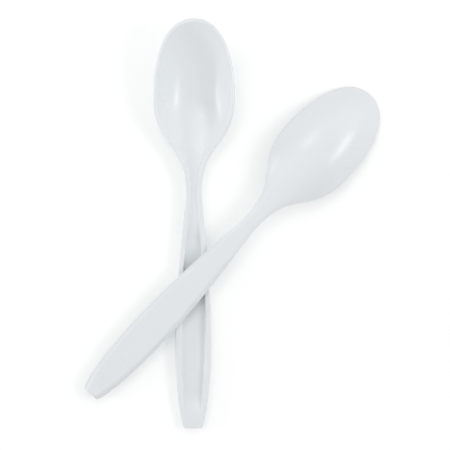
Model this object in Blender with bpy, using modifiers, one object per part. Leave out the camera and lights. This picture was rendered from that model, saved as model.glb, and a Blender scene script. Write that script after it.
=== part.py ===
"""Two moulded plastic spoons, one face up on the table and one face down across its handle.

Both spoons are the same moulding, so they share one mesh. The mesh is half a spoon, open at its
middle plane: a grid that is extruded into a slab and then lofted, its upper side to the face and
its lower side to the back, which follow different sections along the handle. Its rows run across
the spoon as far as the widest part of the bowl, and in front of it bend round with the rim, so
that no rows meet at the tip. Mirror makes the other half and Bevel rounds the edges of the rim.

In a spoon's own frame Y runs from the tip to the end of the handle, X across and Z up out of the
bowl, with Z = 0 at the rim of the bowl. The pair lies on Z = 0 with its origin under its middle.
"""

import math

import bmesh
import bpy
from mathutils import Matrix, Vector
from mathutils.bvhtree import BVHTree

# Outline of the spoon's face seen from above, as distances from the tip and half widths
SPOON_LENGTH = 0.1493
BOWL_WIDEST_AT = 0.0288
BOWL_HALF_WIDTH = 0.0143
BOWL_ROUNDNESS = 2.24
SHOULDER_PULL = 0.0181
NECK_PULL = 0.0185
NECK_AT = 0.0633
NECK_HALF_WIDTH = 0.0029
GRIP_AT = 0.1192
GRIP_HALF_WIDTH = 0.0066
GRIP_RISE_PULL = 0.0070
GRIP_FALL_PULL = 0.0277
END_HALF_WIDTH = 0.0030
END_CORNER_HALF_WIDTH = 0.0049
END_CORNER_LENGTH = 0.0015
END_TAPER_PULL = 0.0133

# Side view. The rim of the bowl leans outwards: its lower edge is further out than its upper one.
WALL = 0.0011
RIM_WIDTH = 0.0008
RIM_DROP = 0.0006
BOWL_DEPTH = 0.0085
BOWL_FLATNESS = 2.5
RAMP_END = 0.0630
RAMP_PULL = 0.0110
RAMP_SLOPE_PULL = 0.0120
RAMP_SLOPE = 0.22
NECK_DISH = 0.0006
TIP_LIFT = 0.0008
BEND_START = 0.0450
BEND_LENGTH = 0.0260
HANDLE_RISE_DEG = 8.0

# Channel in the face of the handle, and the handle's flat back with its rounded sides
CHANNEL_START = 0.0740
CHANNEL_RUN_IN = 0.0080
CHANNEL_DEPTH = 0.0019
CHANNEL_END_LAND = 0.0035
CHANNEL_END_SLOPE = 0.0040
CHANNEL_EDGE_PULL = 0.0043
CHANNEL_WALL_SHARE = 0.30
HANDLE_RIM = 0.0013
BACK_SIDE_RUN = 0.0014
BACK_END_LIFT = 0.0006
BACK_END_RUN = 0.0040

EDGE_RADIUS = 0.0004
EDGE_SEGMENTS = 2

# Rows of the grid in each stretch, and columns from the middle plane to the rim
TIP_ROWS = 10
SHOULDER_ROWS = 15
NECK_ROWS = 5
RUN_IN_ROWS = 4
CHANNEL_ROWS = 11
END_SLOPE_ROWS = 3
END_ROWS = 3
FLOOR_COLUMNS = 4
WALL_COLUMNS = 2
FLANGE_COLUMNS = 2
BACK_SIDE_COLUMNS = 2
COLUMNS = FLOOR_COLUMNS + WALL_COLUMNS + FLANGE_COLUMNS

# The crossing: where along each spoon the middle lines cross, and the angle between them
LOWER_CROSSING_AT = 0.0962
UPPER_CROSSING_AT = 0.0944
CROSSING_DEG = 42.9
SEAT_GAP = 0.0003
STEEPEST_DEG = 25.0
HALVINGS = 24

PLASTIC_COLOUR = (0.83, 0.85, 0.86, 1.0)
PLASTIC_ROUGHNESS = 0.32


def clear_scene():
    for obj in list(bpy.data.objects):
        bpy.data.objects.remove(obj, do_unlink=True)


def smooth_step(value):
    """0 below 0, 1 above 1 and a smooth rise between."""
    value = min(1.0, max(0.0, value))
    return value * value * (3.0 - 2.0 * value)


def bezier(points, at):
    """Height of a cubic curve above the place `at` along it; its points run forwards."""
    low, high = 0.0, 1.0
    for _ in range(HALVINGS):
        t = 0.5 * (low + high)
        if bezier_point([p[0] for p in points], t) < at:
            low = t
        else:
            high = t
    return bezier_point([p[1] for p in points], 0.5 * (low + high))


def bezier_point(values, t):
    a, b, c, d = values
    s = 1.0 - t
    return s * s * s * a + 3.0 * s * s * t * b + 3.0 * s * t * t * c + t * t * t * d


def half_width(at):
    """Half the width of the outline at a distance from the tip, behind the widest section."""
    if at <= NECK_AT:
        return bezier(
            (
                (BOWL_WIDEST_AT, BOWL_HALF_WIDTH),
                (BOWL_WIDEST_AT + SHOULDER_PULL, BOWL_HALF_WIDTH),
                (NECK_AT - NECK_PULL, NECK_HALF_WIDTH),
                (NECK_AT, NECK_HALF_WIDTH),
            ),
            at,
        )
    if at <= GRIP_AT:
        return bezier(
            (
                (NECK_AT, NECK_HALF_WIDTH),
                (NECK_AT + GRIP_RISE_PULL, NECK_HALF_WIDTH),
                (GRIP_AT - GRIP_FALL_PULL, GRIP_HALF_WIDTH),
                (GRIP_AT, GRIP_HALF_WIDTH),
            ),
            at,
        )
    return bezier(
        (
            (GRIP_AT, GRIP_HALF_WIDTH),
            (GRIP_AT + END_TAPER_PULL, GRIP_HALF_WIDTH),
            (SPOON_LENGTH - END_CORNER_LENGTH, END_CORNER_HALF_WIDTH),
            (SPOON_LENGTH, END_HALF_WIDTH),
        ),
        at,
    )


def rim_height(at):
    """Height of the rim behind the widest section: level, then rising along the handle."""
    rise = math.tan(math.radians(HANDLE_RISE_DEG))
    past = max(0.0, at - BEND_START)
    if past <= BEND_LENGTH:
        return rise * past * past / (2.0 * BEND_LENGTH)
    return rise * (past - 0.5 * BEND_LENGTH)


def middle_depth(at):
    """Depth of the bowl below its rim along the middle line behind the widest section."""
    return bezier(
        (
            (BOWL_WIDEST_AT, BOWL_DEPTH),
            (BOWL_WIDEST_AT + RAMP_PULL, BOWL_DEPTH),
            (RAMP_END - RAMP_SLOPE_PULL, NECK_DISH + RAMP_SLOPE * RAMP_SLOPE_PULL),
            (RAMP_END, NECK_DISH),
        ),
        at,
    )


def channel_share(at):
    """0 along the neck, where the handle is only dished, and 1 where its channel is full."""
    return smooth_step((at - CHANNEL_START) / CHANNEL_RUN_IN)


def channel_depth(at):
    """Depth of the handle's channel: a shallow dish at the neck, none at the end of the handle."""
    slope_start = SPOON_LENGTH - CHANNEL_END_LAND - CHANNEL_END_SLOPE
    run_out = smooth_step((at - slope_start) / CHANNEL_END_SLOPE)
    return (NECK_DISH + (CHANNEL_DEPTH - NECK_DISH) * channel_share(at)) * (1.0 - run_out)


def handle_thickness(at):
    """Distance of the handle's flat back below its rim, a little less at the end of the handle."""
    lift = BACK_END_LIFT * smooth_step((at - SPOON_LENGTH + BACK_END_RUN) / BACK_END_RUN)
    return NECK_DISH + (CHANNEL_DEPTH - NECK_DISH) * channel_share(at) + WALL - lift


def handle_share(at):
    """0 along the bowl and 1 along the handle, with a smooth change over the bowl's ramp."""
    return smooth_step((at - BOWL_WIDEST_AT) / (RAMP_END - BOWL_WIDEST_AT))


def mix(first, second, share):
    return first + (second - first) * share


def channel_foot(width):
    """Half the width of the channel's floor; the edge beside it narrows a little with the handle."""
    return width * width / (width + CHANNEL_EDGE_PULL)


def face_place(at, column):
    """Distance of a column of the face from the middle plane: even in the bowl, fitted to the channel."""
    width = half_width(at)
    foot = channel_foot(width)
    brow = mix(foot, width, CHANNEL_WALL_SHARE)
    if column <= FLOOR_COLUMNS:
        fitted = foot * column / FLOOR_COLUMNS
    elif column <= FLOOR_COLUMNS + WALL_COLUMNS:
        fitted = mix(foot, brow, (column - FLOOR_COLUMNS) / WALL_COLUMNS)
    else:
        fitted = mix(width, brow, (COLUMNS - column) / FLANGE_COLUMNS)
    return mix(width * column / COLUMNS, fitted, handle_share(at))


def back_place(at, column):
    """Distance of a column of the back from the middle plane."""
    share = handle_share(at)
    width = half_width(at) + RIM_WIDTH * (1.0 - share)
    flat_columns = COLUMNS - BACK_SIDE_COLUMNS
    if column <= flat_columns:
        fitted = (width - BACK_SIDE_RUN) * column / flat_columns
    else:
        fitted = width - BACK_SIDE_RUN * (COLUMNS - column) / BACK_SIDE_COLUMNS
    return mix(width * column / COLUMNS, fitted, share)


def front_point(across, forward, rim_width, rim_drop, depth):
    """A point of the bowl's face or back in front of its widest section.

    A quarter of a square, `across` from the middle plane to the rim and `forward` from the widest
    section to the tip, is fitted to a quarter of a disc, and that to the round tip.
    """
    side = across * math.sqrt(1.0 - 0.5 * forward * forward)
    ahead = forward * math.sqrt(1.0 - 0.5 * across * across)
    radius = math.hypot(side, ahead)
    spread = (side**BOWL_ROUNDNESS + ahead**BOWL_ROUNDNESS) ** (1.0 / BOWL_ROUNDNESS)
    fit = radius / spread if spread > 0.0 else 1.0
    reach = ahead * fit
    below = mix(depth, rim_drop, radius**BOWL_FLATNESS)
    return Vector(
        (
            (BOWL_HALF_WIDTH + rim_width) * side * fit,
            BOWL_WIDEST_AT - (BOWL_WIDEST_AT + rim_width) * reach,
            TIP_LIFT * reach * reach - below,
        )
    )


def face_point(at, column):
    """A point of the face, the inside of the bowl and of the channel, behind the widest section."""
    width = half_width(at)
    place = face_place(at, column)
    bowl = middle_depth(min(at, RAMP_END)) * (1.0 - min(1.0, place / width) ** BOWL_FLATNESS)
    foot = channel_foot(width)
    wall = smooth_step((place - foot) / (CHANNEL_WALL_SHARE * (width - foot)))
    channel = channel_depth(at) * (1.0 - wall)
    return Vector((place, at, rim_height(at) - mix(bowl, channel, handle_share(at))))


def back_point(at, column):
    """A point of the back, the outside of the bowl and of the handle, behind the widest section."""
    share = handle_share(at)
    width = half_width(at) + RIM_WIDTH * (1.0 - share)
    place = back_place(at, column)
    across = min(1.0, place / width)
    bowl = mix(middle_depth(min(at, RAMP_END)) + WALL, RIM_DROP, across**BOWL_FLATNESS)
    side = max(0.0, 1.0 - (width - place) / BACK_SIDE_RUN)
    handle = mix(handle_thickness(at), HANDLE_RIM, side * side)
    return Vector((place, at, rim_height(at) - mix(bowl, handle, share)))


def stretch(start, end, rows):
    """The places of a stretch's rows after its first."""
    return [start + (end - start) * (row + 1) / rows for row in range(rows)]


def rear_rows():
    """Distances from the tip of the rows behind the widest section, closer together at the end."""
    slope_start = SPOON_LENGTH - CHANNEL_END_LAND - CHANNEL_END_SLOPE
    channel_full = CHANNEL_START + CHANNEL_RUN_IN
    quarter = 0.5 * math.pi
    end = [
        SPOON_LENGTH - CHANNEL_END_LAND * (1.0 - math.sin(quarter * (row + 1) / END_ROWS))
        for row in range(END_ROWS)
    ]
    return (
        stretch(BOWL_WIDEST_AT, RAMP_END, SHOULDER_ROWS)
        + stretch(RAMP_END, CHANNEL_START, NECK_ROWS)
        + stretch(CHANNEL_START, channel_full, RUN_IN_ROWS)
        + stretch(channel_full, slope_start, CHANNEL_ROWS)
        + stretch(slope_start, SPOON_LENGTH - CHANNEL_END_LAND, END_SLOPE_ROWS)
        + end
    )


def spoon_mesh():
    """Half of the spoon as a lofted slab that is open at the middle plane."""
    places = rear_rows()
    rows = TIP_ROWS + len(places)
    shape = bmesh.new()
    bmesh.ops.create_grid(shape, x_segments=COLUMNS, y_segments=rows, size=0.5)
    made = bmesh.ops.extrude_face_region(shape, geom=shape.faces[:], use_keep_orig=True)
    for vertex in made["geom"]:
        if isinstance(vertex, bmesh.types.BMVert):
            vertex.co.z = -1.0
    middle = [face for face in shape.faces if all(v.co.x < -0.499 for v in face.verts)]
    bmesh.ops.delete(shape, geom=middle, context="FACES")
    mark_rim(shape)
    for vertex in shape.verts:
        column = round((vertex.co.x + 0.5) * COLUMNS)
        row = round((vertex.co.y + 0.5) * rows)
        on_back = vertex.co.z < -0.5
        if row <= TIP_ROWS:
            sizes = (RIM_WIDTH, RIM_DROP, BOWL_DEPTH + WALL) if on_back else (0.0, 0.0, BOWL_DEPTH)
            vertex.co = front_point(column / COLUMNS, 1.0 - row / TIP_ROWS, *sizes)
        else:
            rule = back_point if on_back else face_point
            vertex.co = rule(places[row - TIP_ROWS - 1], column)
    bmesh.ops.recalc_face_normals(shape, faces=shape.faces)
    mesh = bpy.data.meshes.new("spoon")
    shape.to_mesh(mesh)
    shape.free()
    mesh.shade_smooth()
    return mesh


def mark_rim(shape):
    """Gives a bevel weight to the upper and lower edge of the slab's sides."""
    weight = shape.edges.layers.float.new("bevel_weight_edge")
    for edge in shape.edges:
        first, second = (vertex.co for vertex in edge.verts)
        level = abs(first.z - second.z) < 0.5
        outer = min(first.x, second.x) > 0.499
        ends = abs(first.y + second.y) > 0.999
        edge[weight] = 1.0 if level and (outer or ends) else 0.0


def plastic():
    """The white plastic of both spoons."""
    material = bpy.data.materials.new("white_plastic")
    material.use_nodes = True
    shader = material.node_tree.nodes["Principled BSDF"]
    shader.inputs["Base Color"].default_value = PLASTIC_COLOUR
    shader.inputs["Roughness"].default_value = PLASTIC_ROUGHNESS
    shader.inputs["Metallic"].default_value = 0.0
    return material


def make_spoon(name, mesh, collection):
    """One spoon: the half mirrored, and rounded along the edges of its rim."""
    spoon = bpy.data.objects.new(name, mesh)
    collection.objects.link(spoon)
    mirror = spoon.modifiers.new("halves", "MIRROR")
    mirror.use_axis = (True, False, False)
    mirror.use_clip = True
    mirror.merge_threshold = 0.00001
    rim = spoon.modifiers.new("rim", "BEVEL")
    rim.width = EDGE_RADIUS
    rim.segments = EDGE_SEGMENTS
    rim.limit_method = "WEIGHT"
    return spoon


def own_points(spoon):
    """The finished spoon's points in its own frame, and its faces."""
    bpy.context.view_layer.update()
    graph = bpy.context.evaluated_depsgraph_get()
    evaluated = spoon.evaluated_get(graph)
    mesh = evaluated.to_mesh()
    points = [vertex.co.copy() for vertex in mesh.vertices]
    faces = [tuple(face.vertices) for face in mesh.polygons]
    evaluated.to_mesh_clear()
    return points, faces


def even_out(reading):
    """The pitch at which a reading that falls as the pitch grows is zero, by halving."""
    low, high = -math.radians(STEEPEST_DEG), math.radians(STEEPEST_DEG)
    for _ in range(HALVINGS):
        middle = 0.5 * (low + high)
        if reading(middle) > 0.0:
            low = middle
        else:
            high = middle
    return 0.5 * (low + high)


def lowest(points, turn):
    return min((turn @ point).z for point in points)


def lay_face_up(points):
    """Turns the lower spoon so that its bowl and the end of its handle both touch the table."""
    bowl = [point for point in points if point.y < NECK_AT]
    handle = [point for point in points if point.y >= NECK_AT]

    def handle_above_bowl(pitch):
        turn = Matrix.Rotation(-pitch, 4, "X")
        return lowest(handle, turn) - lowest(bowl, turn)

    turn = Matrix.Rotation(math.pi, 4, "Z") @ Matrix.Rotation(-even_out(handle_above_bowl), 4, "X")
    placed = Matrix.Translation((0.0, LOWER_CROSSING_AT, -lowest(points, turn))) @ turn
    return placed


def clearance(upper, lower, faces):
    """The smallest upright distance from one spoon's points down, or up, to the other spoon."""
    tree_upper = BVHTree.FromPolygons(upper, faces)
    tree_lower = BVHTree.FromPolygons(lower, faces)
    gaps = []
    for points, tree, towards in ((upper, tree_lower, -1.0), (lower, tree_upper, 1.0)):
        for point in points:
            start = Vector((point.x, point.y, -towards))
            hit = tree.ray_cast(start, Vector((0.0, 0.0, towards)))[0]
            if hit is not None:
                gaps.append((point.z - hit.z) * -towards)
    return min(gaps)


def lay_face_down(points, faces, lower_points):
    """Turns the upper spoon over, with its bowl on the table and its handle on the lower one's."""
    heading = Matrix.Rotation(math.pi - math.radians(CROSSING_DEG), 4, "Z")
    over = Matrix.Rotation(math.pi, 4, "Y")
    bowl = [point for point in points if point.y < NECK_AT]

    def placed(pitch):
        turn = heading @ Matrix.Rotation(pitch, 4, "X") @ over
        reach = heading @ Vector((0.0, -UPPER_CROSSING_AT, 0.0))
        return Matrix.Translation((reach.x, reach.y, -lowest(bowl, turn))) @ turn

    def too_low(pitch):
        at = placed(pitch)
        return SEAT_GAP - clearance([at @ point for point in points], lower_points, faces)

    return placed(even_out(too_low))


def centre_on_origin(spoons, points):
    """Moves both spoons so that the middle of their box stands over the origin."""
    corners = [spoon.matrix_world @ point for spoon in spoons for point in points]
    middle = [
        0.5 * (min(corner[axis] for corner in corners) + max(corner[axis] for corner in corners))
        for axis in (0, 1)
    ]
    for spoon in spoons:
        spoon.location.x -= middle[0]
        spoon.location.y -= middle[1]


def build():
    clear_scene()
    collection = bpy.data.collections.new("pair_of_plastic_spoons")
    bpy.context.scene.collection.children.link(collection)
    mesh = spoon_mesh()
    mesh.materials.append(plastic())
    lower = make_spoon("lower_spoon", mesh, collection)
    upper = make_spoon("upper_spoon", mesh, collection)
    points, faces = own_points(lower)
    lower.matrix_world = lay_face_up(points)
    lower_points = [lower.matrix_world @ point for point in points]
    upper.matrix_world = lay_face_down(points, faces, lower_points)
    bpy.context.view_layer.update()
    centre_on_origin((lower, upper), points)


build()
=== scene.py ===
"""Two white plastic spoons that lie crossed on a white table, seen from straight above.

The spoons are one moulding. Its surface follows a rule, so a Geometry Nodes tree makes half of it
from named sizes and a mirror makes the whole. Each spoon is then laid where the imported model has
it. All lengths are in metres.
"""

import logging
import math
from collections.abc import Mapping
from dataclasses import dataclass, fields
from enum import Enum

import bpy
from mathutils import Euler, Matrix, Vector


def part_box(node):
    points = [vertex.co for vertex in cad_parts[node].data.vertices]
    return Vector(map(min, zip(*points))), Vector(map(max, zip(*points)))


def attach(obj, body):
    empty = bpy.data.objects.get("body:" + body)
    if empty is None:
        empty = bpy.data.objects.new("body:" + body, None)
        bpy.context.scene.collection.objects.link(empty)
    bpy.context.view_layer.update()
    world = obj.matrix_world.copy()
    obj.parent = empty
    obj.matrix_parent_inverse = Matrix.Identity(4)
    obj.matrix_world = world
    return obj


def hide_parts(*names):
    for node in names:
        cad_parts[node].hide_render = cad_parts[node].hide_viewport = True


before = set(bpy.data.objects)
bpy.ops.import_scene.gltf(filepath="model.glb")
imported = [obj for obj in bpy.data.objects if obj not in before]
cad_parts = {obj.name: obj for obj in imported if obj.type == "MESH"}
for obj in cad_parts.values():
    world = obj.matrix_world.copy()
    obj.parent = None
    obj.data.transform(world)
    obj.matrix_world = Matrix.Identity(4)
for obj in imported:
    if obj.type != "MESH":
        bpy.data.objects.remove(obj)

log = logging.getLogger("spoons")

OWN_PLACE = "own_place"
MERGE_DISTANCE = 0.00001

# A place along a curve is halved so often, which finds it to 0.01 mm.
HALVINGS = 15

# Faces of the slab nearer to the middle plane than this share are its open side.
ON_MIDDLE = 0.001

# Noise textures vary about this level.
NOISE_MIDDLE = 0.5

Value = "Term | float | int | bool | tuple | bpy.types.NodeSocket"


class Term:
    """A number that a node puts out; Python's operators on it add Math nodes."""

    def __init__(self, nodes: "Nodes", socket: bpy.types.NodeSocket) -> None:
        """Wraps a socket.

        Args:
            nodes: the maker of the tree that the socket is in.
            socket: the output that holds the number.
        """
        self.nodes = nodes
        self.socket = socket

    def math(self, operation: str, *values: Value) -> "Term":
        """Adds a Math node.

        Args:
            operation: the node's operation.
            values: its inputs, in order.

        Returns:
            The number that it puts out.
        """
        node = self.nodes.add("ShaderNodeMath", {"operation": operation}, dict(enumerate(values)))
        return Term(self.nodes, node.outputs[0])

    def __add__(self, other: Value) -> "Term":
        """self + other."""
        return self.math("ADD", self, other)

    def __radd__(self, other: Value) -> "Term":
        """other + self."""
        return self.math("ADD", other, self)

    def __sub__(self, other: Value) -> "Term":
        """self - other."""
        return self.math("SUBTRACT", self, other)

    def __rsub__(self, other: Value) -> "Term":
        """other - self."""
        return self.math("SUBTRACT", other, self)

    def __mul__(self, other: Value) -> "Term":
        """self * other."""
        return self.math("MULTIPLY", self, other)

    def __rmul__(self, other: Value) -> "Term":
        """other * self."""
        return self.math("MULTIPLY", other, self)

    def __truediv__(self, other: Value) -> "Term":
        """self / other, which is 0 where other is 0."""
        return self.math("DIVIDE", self, other)

    def __rtruediv__(self, other: Value) -> "Term":
        """other / self, which is 0 where self is 0."""
        return self.math("DIVIDE", other, self)

    def __pow__(self, other: Value) -> "Term":
        """self ** other."""
        return self.math("POWER", self, other)

    def __lt__(self, other: Value) -> "Term":
        """1 where self is below other, else 0."""
        return self.math("LESS_THAN", self, other)

    def __gt__(self, other: Value) -> "Term":
        """1 where self is above other, else 0."""
        return self.math("GREATER_THAN", self, other)

    def least(self, other: Value) -> "Term":
        """The smaller of self and other."""
        return self.math("MINIMUM", self, other)

    def most(self, other: Value) -> "Term":
        """The larger of self and other."""
        return self.math("MAXIMUM", self, other)

    def root(self) -> "Term":
        """The square root."""
        return self.math("SQRT", self)

    def sine(self) -> "Term":
        """The sine of an angle in radians."""
        return self.math("SINE", self)

    def tangent(self) -> "Term":
        """The tangent of an angle in radians."""
        return self.math("TANGENT", self)

    def sign(self) -> "Term":
        """1, 0 or -1."""
        return self.math("SIGN", self)

    def clamped(self) -> "Term":
        """self held between 0 and 1."""
        return self.most(0.0).least(1.0)

    def smooth(self) -> "Term":
        """A smooth rise from 0 at 0 to 1 at 1."""
        held = self.clamped()
        return held * held * (3.0 - 2.0 * held)

    def to(self, other: "Term", share: Value) -> "Term":
        """self where share is 0, other where it is 1, and a mix between."""
        return self + (other - self) * share


class Nodes:
    """Makes the nodes of one tree."""

    def __init__(self, tree: bpy.types.NodeTree) -> None:
        """Takes the tree to add to.

        Args:
            tree: a shader or geometry node tree.
        """
        self.tree = tree

    def add(
        self,
        kind: str,
        settings: Mapping[str, object] | None = None,
        values: Mapping[str | int, Value] | None = None,
    ) -> bpy.types.Node:
        """Adds a node.

        Args:
            kind: the node's type.
            settings: its own properties, set before its inputs.
            values: what each input holds, or the socket or term that it is linked to.

        Returns:
            The new node.
        """
        node = self.tree.nodes.new(kind)
        for name, setting in (settings or {}).items():
            setattr(node, name, setting)
        for key, value in (values or {}).items():
            source = value.socket if isinstance(value, Term) else value
            if isinstance(source, bpy.types.NodeSocket):
                self.tree.links.new(source, node.inputs[key])
            else:
                node.inputs[key].default_value = source
        return node

    def term(self, kind: str, output: str | int = 0, **parts: Mapping) -> Term:
        """Adds a node and wraps one of its outputs.

        Args:
            kind: the node's type.
            output: the output's name or number.
            parts: settings and values, as for add.

        Returns:
            The output as a term.
        """
        return Term(self, self.add(kind, **parts).outputs[output])


@dataclass(frozen=True)
class SpoonSizes:
    """The moulding's sizes, as distances from the tip, half widths, heights and shares."""

    length: float = 0.1493
    bowl_widest_at: float = 0.0288
    bowl_half_width: float = 0.0143
    bowl_roundness: float = 2.24
    shoulder_pull: float = 0.0181
    neck_pull: float = 0.0185
    neck_at: float = 0.0633
    neck_half_width: float = 0.0029
    grip_at: float = 0.1192
    grip_half_width: float = 0.0066
    grip_rise_pull: float = 0.0070
    grip_fall_pull: float = 0.0277
    end_half_width: float = 0.0030
    end_corner_half_width: float = 0.0049
    end_corner_length: float = 0.0015
    end_taper_pull: float = 0.0133
    wall: float = 0.0011
    rim_width: float = 0.0008
    rim_drop: float = 0.0006
    rim_round: float = 0.00045
    rim_fullness: float = 2.4
    bowl_depth: float = 0.0085
    bowl_flatness: float = 2.5
    ramp_end: float = 0.0630
    ramp_pull: float = 0.0110
    ramp_slope_pull: float = 0.0120
    ramp_slope: float = 0.22
    neck_dish: float = 0.0006
    tip_lift: float = 0.0008
    bend_start: float = 0.0450
    bend_length: float = 0.0260
    handle_rise: float = math.radians(8.0)
    channel_start: float = 0.0740
    channel_run_in: float = 0.0080
    channel_depth: float = 0.0019
    channel_end_land: float = 0.0035
    channel_end_slope: float = 0.0090
    channel_edge_pull: float = 0.0043
    channel_wall_share: float = 0.30
    handle_rim: float = 0.0013
    back_side_run: float = 0.0014
    back_end_lift: float = 0.0006
    back_end_run: float = 0.0040


@dataclass(frozen=True)
class WhitePlastic:
    """White polystyrene as it leaves a polished mould, a little translucent.

    The marks' lengths, widths and sizes say how far apart they are, and their heights how far
    they stand out.
    """

    colour: tuple = (0.886, 0.915, 0.936)
    cooler: tuple = (0.975, 0.985, 0.99)
    roughness: float = 0.26
    roughness_change: float = 0.08
    refraction: float = 1.55
    flow_length: float = 0.030
    flow_width: float = 0.0016
    flow_height: float = 0.000007
    flow_share: float = 0.6
    grain_size: float = 0.0011
    grain_height: float = 0.000002
    wave_size: float = 0.0060
    wave_height: float = 0.00005
    scuff_spacing: float = 0.0040
    scuff_stretch: float = 3.0
    scuff_share: float = 0.010
    scuff_roughness: float = 0.03
    patch_size: float = 0.0035
    patch_level: float = 0.52
    patch_contrast: float = 8.0
    glow: float = 0.10
    glow_depth: float = 0.0008
    glow_spread: tuple = (1.0, 0.9, 0.8)

    def material(self) -> bpy.types.Material:
        """Builds the finish.

        Returns:
            The material, whose marks lie along each spoon's own length.
        """
        material = bpy.data.materials.new("white_plastic_finish")
        material.use_nodes = True
        material.node_tree.nodes.clear()
        nodes = Nodes(material.node_tree)
        own = nodes.add("ShaderNodeAttribute", {"attribute_name": OWN_PLACE}).outputs["Vector"]
        flow_size = (self.flow_width, self.flow_length, self.flow_width)
        flow = self.marks(nodes, own, flow_size, detail=2.0)
        grain = self.marks(nodes, own, (self.grain_size,) * 3, detail=3.0)
        waves = self.marks(nodes, own, (self.wave_size,) * 3, detail=0.0)
        dulled = grain.to(flow, self.flow_share) - NOISE_MIDDLE
        gloss = self.roughness + self.roughness_change * dulled
        height = flow * self.flow_height + grain * self.grain_height + waves * self.wave_height
        relief = nodes.add("ShaderNodeBump", values={"Distance": 1.0, "Height": height})
        shader = nodes.add(
            "ShaderNodeBsdfPrincipled",
            values={
                "Base Color": self.tone(nodes, waves.to(flow, self.flow_share)),
                "Roughness": gloss + self.scuffs(nodes, own) * self.scuff_roughness,
                "IOR": self.refraction,
                "Subsurface Weight": self.glow,
                "Subsurface Radius": self.glow_spread,
                "Subsurface Scale": self.glow_depth,
                "Normal": relief.outputs["Normal"],
            },
        )
        nodes.add("ShaderNodeOutputMaterial", values={"Surface": shader.outputs["BSDF"]})
        return material

    def marks(self, nodes: Nodes, own: bpy.types.NodeSocket, size: tuple, detail: float) -> Term:
        """Soft marks all over the spoon.

        Args:
            nodes: the material's node maker.
            own: the place on the spoon.
            size: how large the marks are across, along and through the spoon.
            detail: how many finer steps they have.

        Returns:
            The marks' strength, about 0.5.
        """
        stretch = tuple(1.0 / length for length in size)
        drawn = nodes.add("ShaderNodeVectorMath", {"operation": "MULTIPLY"}, {0: own, 1: stretch})
        return nodes.term(
            "ShaderNodeTexNoise",
            values={"Vector": drawn.outputs[0], "Scale": 1.0, "Detail": detail},
        )

    def scuffs(self, nodes: Nodes, own: bpy.types.NodeSocket) -> Term:
        """Hairlines that the spoons leave on each other, here and there.

        Args:
            nodes: the material's node maker.
            own: the place on the spoon.

        Returns:
            1 on a hairline and 0 elsewhere.
        """
        apart = self.scuff_spacing
        size = (apart, apart * self.scuff_stretch, apart)
        lines = self.marks(nodes, own, size, detail=1.0) - NOISE_MIDDLE
        off_line = lines.most(lines * -1.0) / self.scuff_share
        patches = self.marks(nodes, own, (self.patch_size,) * 3, detail=1.0) - self.patch_level
        return (1.0 - off_line).smooth() * (patches * self.patch_contrast).clamped()

    def tone(self, nodes: Nodes, share: Term) -> bpy.types.NodeSocket:
        """The colour, which is a shade cooler in places.

        Args:
            nodes: the material's node maker.
            share: how much of the cooler shade there is.

        Returns:
            The colour's socket.
        """
        cooler = tuple(level * shade for level, shade in zip(self.colour, self.cooler))
        mix = nodes.add(
            "ShaderNodeMix",
            {"data_type": "RGBA"},
            {0: share.smooth(), 6: (*self.colour, 1.0), 7: (*cooler, 1.0)},
        )
        return mix.outputs[2]


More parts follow.
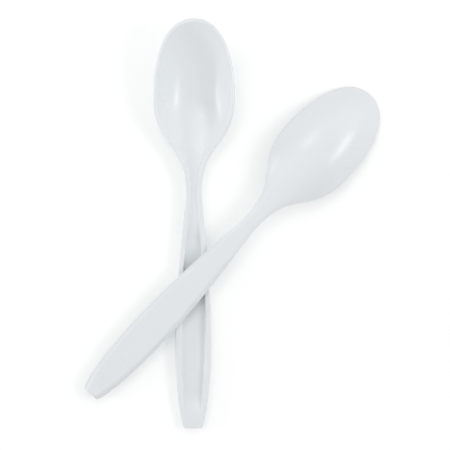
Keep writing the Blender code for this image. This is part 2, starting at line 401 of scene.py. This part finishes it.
@dataclass(frozen=True)
class Moulding:
    """One spoon, in its own frame: Y from the tip to the end, Z up out of the bowl."""

    sizes: SpoonSizes
    finish: bpy.types.Material
    columns: int = 26
    rows: int = 250
    rim_rows: int = 8
    front_share: float = 0.16
    end_share: float = 0.03
    floor_share: float = 0.42
    brow_share: float = 0.72
    flat_share: float = 0.60

    def mesh(self) -> bpy.types.Mesh:
        """Makes the whole spoon.

        Returns:
            The mesh, with the place on the spoon kept as an attribute.
        """
        half = bpy.data.objects.new("half", bpy.data.meshes.new("half"))
        bpy.context.scene.collection.objects.link(half)
        self.add_tree(half)
        mirror = half.modifiers.new("halves", "MIRROR")
        mirror.merge_threshold = MERGE_DISTANCE
        bpy.context.view_layer.update()
        graph = bpy.context.evaluated_depsgraph_get()
        whole = bpy.data.meshes.new_from_object(half.evaluated_get(graph))
        half.modifiers.clear()
        bpy.data.objects.remove(half)
        places = [0.0] * (3 * len(whole.vertices))
        whole.vertices.foreach_get("co", places)
        own = whole.attributes.new(OWN_PLACE, "FLOAT_VECTOR", "POINT")
        own.data.foreach_set("vector", places)
        whole.shade_smooth()
        return whole

    def add_tree(self, piece: bpy.types.Object) -> None:
        """Builds the tree that makes half of the spoon, and sets its inputs.

        Args:
            piece: the object that gets the tree.
        """
        tree = bpy.data.node_groups.new("half_spoon", "GeometryNodeTree")
        tree.interface.new_socket("Geometry", in_out="OUTPUT", socket_type="NodeSocketGeometry")
        sockets = {
            size.name: tree.interface.new_socket(
                size.name, in_out="INPUT", socket_type="NodeSocketFloat"
            )
            for size in fields(self.sizes)
        }
        nodes = Nodes(tree)
        given = nodes.add("NodeGroupInput")
        slab = nodes.add(
            "GeometryNodeMeshCube",
            values={
                "Size": (1.0, 1.0, 1.0),
                "Vertices X": self.columns + 1,
                "Vertices Y": self.rows + 1,
                "Vertices Z": self.rim_rows + 1,
            },
        )
        place = nodes.add("GeometryNodeInputPosition").outputs["Position"]
        parts = nodes.add("ShaderNodeSeparateXYZ", values={0: place}).outputs
        across, along, down = (Term(nodes, parts[axis]) + 0.5 for axis in "XYZ")
        opened = nodes.add(
            "GeometryNodeDeleteGeometry",
            {"domain": "FACE"},
            {"Geometry": slab.outputs["Mesh"], "Selection": across < ON_MIDDLE},
        )
        rule = SpoonRule({name: Term(nodes, given.outputs[name]) for name in sockets}, self)
        moved = nodes.add(
            "GeometryNodeSetPosition",
            values={
                "Geometry": opened.outputs["Geometry"],
                "Position": rule.place(nodes, across, along, 1.0 - down),
            },
        )
        made = nodes.add("GeometryNodeRealizeInstances", values={0: moved.outputs["Geometry"]})
        dressed = nodes.add(
            "GeometryNodeSetMaterial", values={"Geometry": made.outputs[0], "Material": self.finish}
        )
        nodes.add("NodeGroupOutput", values={0: dressed.outputs["Geometry"]})
        modifier = piece.modifiers.new("half", "NODES")
        modifier.node_group = tree
        for name, socket in sockets.items():
            modifier[socket.identifier] = getattr(self.sizes, name)


@dataclass(frozen=True)
class SpoonRule:
    """The rule of the spoon's surface, as terms of the tree that makes it."""

    sizes: dict
    grid: Moulding

    def place(self, nodes: Nodes, across: Term, along: Term, under: Term) -> bpy.types.NodeSocket:
        """Where a point of the slab goes.

        Args:
            nodes: the tree's node maker.
            across: 0 at the middle plane and 1 at the rim.
            along: 0 at the tip and 1 at the end of the handle.
            under: 0 on the face, 1 on the back and between on the round of the rim.

        Returns:
            The socket of its place.
        """
        s = self.sizes
        turned = 0.5 - 0.5 * (under * math.pi + 0.5 * math.pi).sine()
        spread = (turned * 2.0 - 1.0) ** 2.0
        bulge = (1.0 - spread ** (s["rim_fullness"] * 0.5)).most(0.0) ** (1.0 / s["rim_fullness"])
        inset = s["rim_round"] * (1.0 - bulge)
        front = self.front(across, (1.0 - along / self.grid.front_share).clamped(), turned, inset)
        rear = self.rear(across, along, turned, inset)
        in_front = along < self.grid.front_share
        values = {axis: rear[axis].to(front[axis], in_front) for axis in range(3)}
        return nodes.add("ShaderNodeCombineXYZ", values=values).outputs[0]

    def front(self, across: Term, forward: Term, under: Term, inset: Term) -> tuple:
        """A point in front of the widest section, where the slab is fitted to the round tip.

        Args:
            across: 0 at the middle plane and 1 at the rim.
            forward: 0 at the widest section and 1 at the tip.
            under: 0 on the face and 1 on the back.
            inset: the distance of the surface's edge inside the outline.

        Returns:
            The point's X, Y and Z.
        """
        s = self.sizes
        side = across * (1.0 - forward * forward * 0.5).root()
        ahead = forward * (1.0 - across * across * 0.5).root()
        radius = (side * side + ahead * ahead).root().least(1.0)
        spread = side ** s["bowl_roundness"] + ahead ** s["bowl_roundness"]
        fit = radius / spread ** (1.0 / s["bowl_roundness"])
        reach = ahead * fit
        growth = s["rim_width"] * under - inset
        depth = s["bowl_depth"] + s["wall"] * under
        below = depth.to(s["rim_drop"] * under, radius ** s["bowl_flatness"])
        return (
            (s["bowl_half_width"] + growth) * side * fit,
            s["bowl_widest_at"] - (s["bowl_widest_at"] + growth) * reach,
            s["tip_lift"] * reach * reach - below,
        )

    def rear(self, across: Term, along: Term, under: Term, inset: Term) -> tuple:
        """A point behind the widest section.

        Args:
            across: 0 at the middle plane and 1 at the rim.
            along: 0 at the tip and 1 at the end of the handle.
            under: 0 on the face and 1 on the back.
            inset: the distance of the surface's edge inside the outline.

        Returns:
            The point's X, Y and Z.
        """
        s, grid = self.sizes, self.grid
        middle = (along - grid.front_share) / (1.0 - grid.front_share - grid.end_share)
        end = ((along - (1.0 - grid.end_share)) / grid.end_share).clamped()
        run = s["length"] - s["channel_end_land"] - s["bowl_widest_at"]
        corner = (end * (0.5 * math.pi)).sine() * s["channel_end_land"]
        at = s["bowl_widest_at"] + run * middle.clamped() + corner
        share = ((at - s["bowl_widest_at"]) / (s["ramp_end"] - s["bowl_widest_at"])).smooth()
        width = self.half_width(at)
        depth = self.middle_depth(at)
        face_place, face_below = self.face(across, at, width, depth, share, inset)
        back_place, back_below = self.back(across, at, width, depth, share, inset)
        last = (at - s["bowl_widest_at"]) / (s["length"] - s["bowl_widest_at"])
        return (
            face_place.to(back_place, under),
            at - inset * last,
            self.rim_height(at) - face_below.to(back_below, under),
        )

    def face(self, across: Term, at: Term, width: Term, depth: Term, share: Term, inset: Term) -> tuple:
        """The inside of the bowl and of the channel, behind the widest section.

        Args:
            across: 0 at the middle plane and 1 at the rim.
            at: the distance from the tip.
            width: half the width of the outline there.
            depth: the depth of the bowl there.
            share: 0 along the bowl and 1 along the handle.
            inset: the distance of the face's edge inside the outline.

        Returns:
            The distance from the middle plane and the depth below the rim.
        """
        s, grid = self.sizes, self.grid
        foot = width * width / (width + s["channel_edge_pull"])
        brow = foot.to(width, s["channel_wall_share"])
        edge = width - inset
        on_wall = ((across - grid.floor_share) / (grid.brow_share - grid.floor_share)).clamped()
        on_brow = ((across - grid.brow_share) / (1.0 - grid.brow_share)).clamped()
        fitted = foot * (across / grid.floor_share).least(1.0) + (brow - foot) * on_wall
        side = (edge * across).to(fitted + (edge - brow) * on_brow, share)
        bowl = depth * (1.0 - (side / edge).least(1.0) ** s["bowl_flatness"])
        wall = ((side - foot) / (brow - foot)).smooth()
        return side, bowl.to(self.channel_depth(at) * (1.0 - wall), share)

    def back(self, across: Term, at: Term, width: Term, depth: Term, share: Term, inset: Term) -> tuple:
        """The outside of the bowl and of the handle, behind the widest section.

        Args:
            across: 0 at the middle plane and 1 at the rim.
            at: the distance from the tip.
            width: half the width of the outline there.
            depth: the depth of the bowl there.
            share: 0 along the bowl and 1 along the handle.
            inset: the distance of the back's edge inside the outline.

        Returns:
            The distance from the middle plane and the depth below the rim.
        """
        s, grid = self.sizes, self.grid
        edge = width + s["rim_width"] * (1.0 - share) - inset
        flat = edge - s["back_side_run"]
        on_side = ((across - grid.flat_share) / (1.0 - grid.flat_share)).clamped()
        fitted = flat * (across / grid.flat_share).least(1.0) + s["back_side_run"] * on_side
        side = (edge * across).to(fitted, share)
        bowl = (depth + s["wall"]).to(s["rim_drop"], (side / edge).least(1.0) ** s["bowl_flatness"])
        rounded = ((side - flat) / s["back_side_run"]).clamped() ** 2.0
        return side, bowl.to(self.handle_thickness(at).to(s["handle_rim"], rounded), share)

    def half_width(self, at: Term) -> Term:
        """Half the width of the outline behind the widest section.

        Args:
            at: the distance from the tip.

        Returns:
            The half width.
        """
        s = self.sizes
        shoulder = self.curve(
            at,
            (s["bowl_widest_at"], s["bowl_widest_at"] + s["shoulder_pull"]),
            (s["neck_at"] - s["neck_pull"], s["neck_at"]),
            (s["bowl_half_width"], s["bowl_half_width"], s["neck_half_width"], s["neck_half_width"]),
        )
        grip = self.curve(
            at,
            (s["neck_at"], s["neck_at"] + s["grip_rise_pull"]),
            (s["grip_at"] - s["grip_fall_pull"], s["grip_at"]),
            (s["neck_half_width"], s["neck_half_width"], s["grip_half_width"], s["grip_half_width"]),
        )
        end = self.curve(
            at,
            (s["grip_at"], s["grip_at"] + s["end_taper_pull"]),
            (s["length"] - s["end_corner_length"], s["length"]),
            (
                s["grip_half_width"],
                s["grip_half_width"],
                s["end_corner_half_width"],
                s["end_half_width"],
            ),
        )
        return shoulder.to(grip, at > s["neck_at"]).to(end, at > s["grip_at"])

    def middle_depth(self, at: Term) -> Term:
        """Depth of the bowl on its middle line behind the widest section.

        Args:
            at: the distance from the tip.

        Returns:
            The depth below the rim.
        """
        s = self.sizes
        slope_depth = s["neck_dish"] + s["ramp_slope"] * s["ramp_slope_pull"]
        return self.curve(
            at,
            (s["bowl_widest_at"], s["bowl_widest_at"] + s["ramp_pull"]),
            (s["ramp_end"] - s["ramp_slope_pull"], s["ramp_end"]),
            (s["bowl_depth"], s["bowl_depth"], slope_depth, s["neck_dish"]),
        )

    def dish(self, at: Term) -> Term:
        """Depth of the handle's face along its middle, but for the end of the channel.

        Args:
            at: the distance from the tip.

        Returns:
            The depth, a shallow dish at the neck and the channel behind it.
        """
        s = self.sizes
        run_in = ((at - s["channel_start"]) / s["channel_run_in"]).smooth()
        return s["neck_dish"].to(s["channel_depth"], run_in)

    def channel_depth(self, at: Term) -> Term:
        """Depth of the handle's channel.

        Args:
            at: the distance from the tip.

        Returns:
            The depth, which runs out before the end of the handle.
        """
        s = self.sizes
        slope_start = s["length"] - s["channel_end_land"] - s["channel_end_slope"]
        return self.dish(at) * (1.0 - ((at - slope_start) / s["channel_end_slope"]).smooth())

    def handle_thickness(self, at: Term) -> Term:
        """Distance of the handle's flat back below its rim.

        Args:
            at: the distance from the tip.

        Returns:
            The distance, a little less at the end of the handle.
        """
        s = self.sizes
        lift = ((at - s["length"] + s["back_end_run"]) / s["back_end_run"]).smooth()
        return self.dish(at) + s["wall"] - s["back_end_lift"] * lift

    def rim_height(self, at: Term) -> Term:
        """Height of the rim behind the widest section.

        Args:
            at: the distance from the tip.

        Returns:
            The height, level along the bowl and rising along the handle.
        """
        s = self.sizes
        past = (at - s["bend_start"]).most(0.0)
        bent = past.least(s["bend_length"])
        return s["handle_rise"].tangent() * (bent * bent / (2.0 * s["bend_length"]) + past - bent)

    def curve(self, at: Term, first: tuple, last: tuple, heights: tuple) -> Term:
        """Height of a cubic curve above a place along it, found by halving.

        Args:
            at: the place.
            first: where the curve's first two points stand.
            last: where its last two points stand.
            heights: the heights of its four points.

        Returns:
            The height; a place outside the curve takes the height of its nearer end.
        """
        runs = self.cubic((*first, *last))
        rises = self.cubic(heights)
        share = at * 0.0 + 0.5
        for halving in range(HALVINGS):
            step = 0.25 * 0.5**halving
            share = share + (at - self.value(runs, share)).sign() * step
        return self.value(rises, share)

    def cubic(self, points: tuple) -> tuple:
        """The cubic curve's factors, highest power first.

        Args:
            points: one coordinate of its four points.

        Returns:
            The four factors.
        """
        a, b, c, d = points
        return d - a + (b - c) * 3.0, (a + c - b * 2.0) * 3.0, (b - a) * 3.0, a

    def value(self, factors: tuple, share: Term) -> Term:
        """A cubic's value.

        Args:
            factors: its factors, highest power first.
            share: where it is taken, from 0 to 1.

        Returns:
            The value.
        """
        a, b, c, d = factors
        return ((a * share + b) * share + c) * share + d


@dataclass(frozen=True)
class LaidSpoon:
    """A spoon that lies where its CAD node lies; its turn about X, Y and Z is in degrees."""

    name: str
    node: str
    turn: tuple

    def lay(self, mesh: bpy.types.Mesh) -> bpy.types.Object:
        """Makes the piece and hands it to the frame.

        Args:
            mesh: the moulding in its own frame, which is copied.

        Returns:
            The piece, with its place in its mesh.
        """
        placed = mesh.copy()
        placed.name = self.name
        placed.transform(Euler([math.radians(angle) for angle in self.turn]).to_matrix().to_4x4())
        low, high = self.corners(placed)
        node_low, node_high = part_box(self.node)
        shrink = [(node_high - node_low)[axis] / (high - low)[axis] for axis in range(3)]
        placed.transform(Matrix.Translation((low + high) * -0.5))
        placed.transform(Matrix.Diagonal((*shrink, 1.0)))
        placed.transform(Matrix.Translation((node_low + node_high) * 0.5))
        spoon = bpy.data.objects.new(self.name, placed)
        bpy.context.scene.collection.objects.link(spoon)
        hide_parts(self.node)
        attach(spoon, "root")
        log.info("%s: %d faces, fitted by %s", self.name, len(placed.polygons), shrink)
        return spoon

    def corners(self, mesh: bpy.types.Mesh) -> tuple:
        """The box that a mesh fills.

        Args:
            mesh: the mesh, in its own frame.

        Returns:
            The box's lowest and highest corner.
        """
        places = [vertex.co for vertex in mesh.vertices]
        low = Vector([min(place[axis] for place in places) for axis in range(3)])
        high = Vector([max(place[axis] for place in places) for axis in range(3)])
        return low, high


class LampSide(Enum):
    """Where a lamp stands, as the way round the table from +X, in degrees."""

    RIGHT = -5.0
    UPPER_RIGHT = 45.0
    TOP = 116.0
    LEFT = 180.0
    LOWER_LEFT = 205.0


@dataclass(frozen=True)
class Lamp:
    """A soft box that faces the spoons.

    Its elevation is in degrees, its size is round the table and upwards, its power in watts.
    """

    side: LampSide
    elevation: float
    distance: float
    size: tuple
    power: float

    def hang(self) -> None:
        """Adds the lamp, turned towards the origin."""
        name = f"lamp_{self.side.name.lower()}"
        light = bpy.data.lights.new(name, "AREA")
        light.shape = "RECTANGLE"
        light.size, light.size_y = self.size
        light.energy = self.power
        lamp = bpy.data.objects.new(name, light)
        bpy.context.scene.collection.objects.link(lamp)
        way = Euler((0.0, -math.radians(self.elevation), math.radians(self.side.value)))
        lamp.location = way.to_matrix() @ Vector((self.distance, 0.0, 0.0))
        lamp.rotation_euler = lamp.location.to_track_quat("Z", "Y").to_euler()


@dataclass(frozen=True)
class Studio:
    """The white table, the soft light and the camera."""

    table_side: float = 6.0
    table_grey: float = 0.80
    seen_colour: tuple = (0.785, 0.70, 0.729)
    seen_glow: tuple = (0.341, 0.413, 0.389)
    sky_top: float = 0.615
    sky_low: float = 0.835
    camera_height: float = 1.5
    frame_width: float = 0.1654
    sensor: float = 36.0
    aim: tuple = (-0.00265, -0.00029)
    camera_roll: float = math.radians(0.2)

    def build(self, lamps: tuple) -> None:
        """Makes the whole studio.

        Args:
            lamps: the soft boxes.
        """
        self.lay_table()
        self.set_sky()
        for lamp in lamps:
            lamp.hang()
        self.set_camera()
        bpy.context.scene.view_settings.view_transform = "Standard"

    def seen(self, nodes: Nodes) -> Term:
        """1 for the rays that should meet a white background, else 0.

        Args:
            nodes: the maker of the tree that asks.

        Returns:
            The mask of camera, glossy and transmitted rays.
        """
        path = nodes.add("ShaderNodeLightPath")
        rays = [
            Term(nodes, path.outputs[name])
            for name in ("Is Camera Ray", "Is Glossy Ray", "Is Transmission Ray")
        ]
        return rays[0].most(rays[1]).most(rays[2])

    def lay_table(self) -> None:
        """Adds the table, white to the camera but for the spoons' shadow."""
        bpy.ops.mesh.primitive_plane_add(size=self.table_side)
        table = bpy.context.active_object
        table.name = "table"
        material = bpy.data.materials.new("table_white")
        material.use_nodes = True
        material.node_tree.nodes.clear()
        nodes = Nodes(material.node_tree)
        plain = nodes.add("ShaderNodeBsdfDiffuse", values={"Color": (*[self.table_grey] * 3, 1.0)})
        shaded = nodes.add("ShaderNodeBsdfDiffuse", values={"Color": (*self.seen_colour, 1.0)})
        glow = nodes.add("ShaderNodeEmission", values={"Color": (*self.seen_glow, 1.0), "Strength": 1.0})
        lit = nodes.add("ShaderNodeAddShader", values={0: shaded.outputs[0], 1: glow.outputs[0]})
        mixed = nodes.add(
            "ShaderNodeMixShader",
            values={0: self.seen(nodes), 1: plain.outputs[0], 2: lit.outputs[0]},
        )
        nodes.add("ShaderNodeOutputMaterial", values={"Surface": mixed.outputs[0]})
        table.data.materials.append(material)

    def set_sky(self) -> None:
        """Sets a sky that is brighter low down, and that looks white behind the spoons."""
        world = bpy.context.scene.world or bpy.data.worlds.new("sky")
        bpy.context.scene.world = world
        world.use_nodes = True
        world.node_tree.nodes.clear()
        nodes = Nodes(world.node_tree)
        camera = Term(nodes, nodes.add("ShaderNodeLightPath").outputs["Is Camera Ray"])
        way = nodes.add("ShaderNodeTexCoord").outputs["Generated"]
        height = nodes.term("ShaderNodeSeparateXYZ", "Z", values={0: way}).clamped()
        lit = self.sky_low + (self.sky_top - self.sky_low) * height
        sky = nodes.add("ShaderNodeBackground", values={"Strength": lit + (1.0 - lit) * camera})
        nodes.add("ShaderNodeOutputWorld", values={"Surface": sky.outputs[0]})

    def set_camera(self) -> None:
        """Sets the camera straight above, framed as in the photograph."""
        data = bpy.data.cameras.new("camera")
        data.sensor_width = self.sensor
        data.lens = self.sensor * self.camera_height / self.frame_width
        camera = bpy.data.objects.new("camera", data)
        bpy.context.scene.collection.objects.link(camera)
        camera.location = (*self.aim, self.camera_height)
        camera.rotation_euler.z = self.camera_roll
        bpy.context.scene.camera = camera


SPOONS = (
    LaidSpoon("face_up_spoon", "lower_spoon", (-9.303, 0.0, 180.0)),
    LaidSpoon("face_down_spoon", "upper_spoon", (174.462, 0.0, -42.9)),
)
LAMPS = (
    Lamp(LampSide.RIGHT, 40.0, 1.0, (0.46, 0.26), 1.75),
    Lamp(LampSide.UPPER_RIGHT, 36.0, 0.5, (0.45, 0.30), 0.23),
    Lamp(LampSide.TOP, 57.0, 0.45, (0.22, 0.20), 0.22),
    Lamp(LampSide.LEFT, 16.0, 1.0, (0.46, 0.18), 1.5),
    Lamp(LampSide.LOWER_LEFT, 45.0, 1.0, (0.80, 0.60), 0.9),
)


def main() -> None:
    """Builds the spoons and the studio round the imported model."""
    logging.basicConfig(level=logging.INFO, format="%(name)s: %(message)s")
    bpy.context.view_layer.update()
    mesh = Moulding(SpoonSizes(), WhitePlastic().material()).mesh()
    for spoon in SPOONS:
        spoon.lay(mesh)
    Studio().build(LAMPS)


if __name__ == "__main__":
    main()
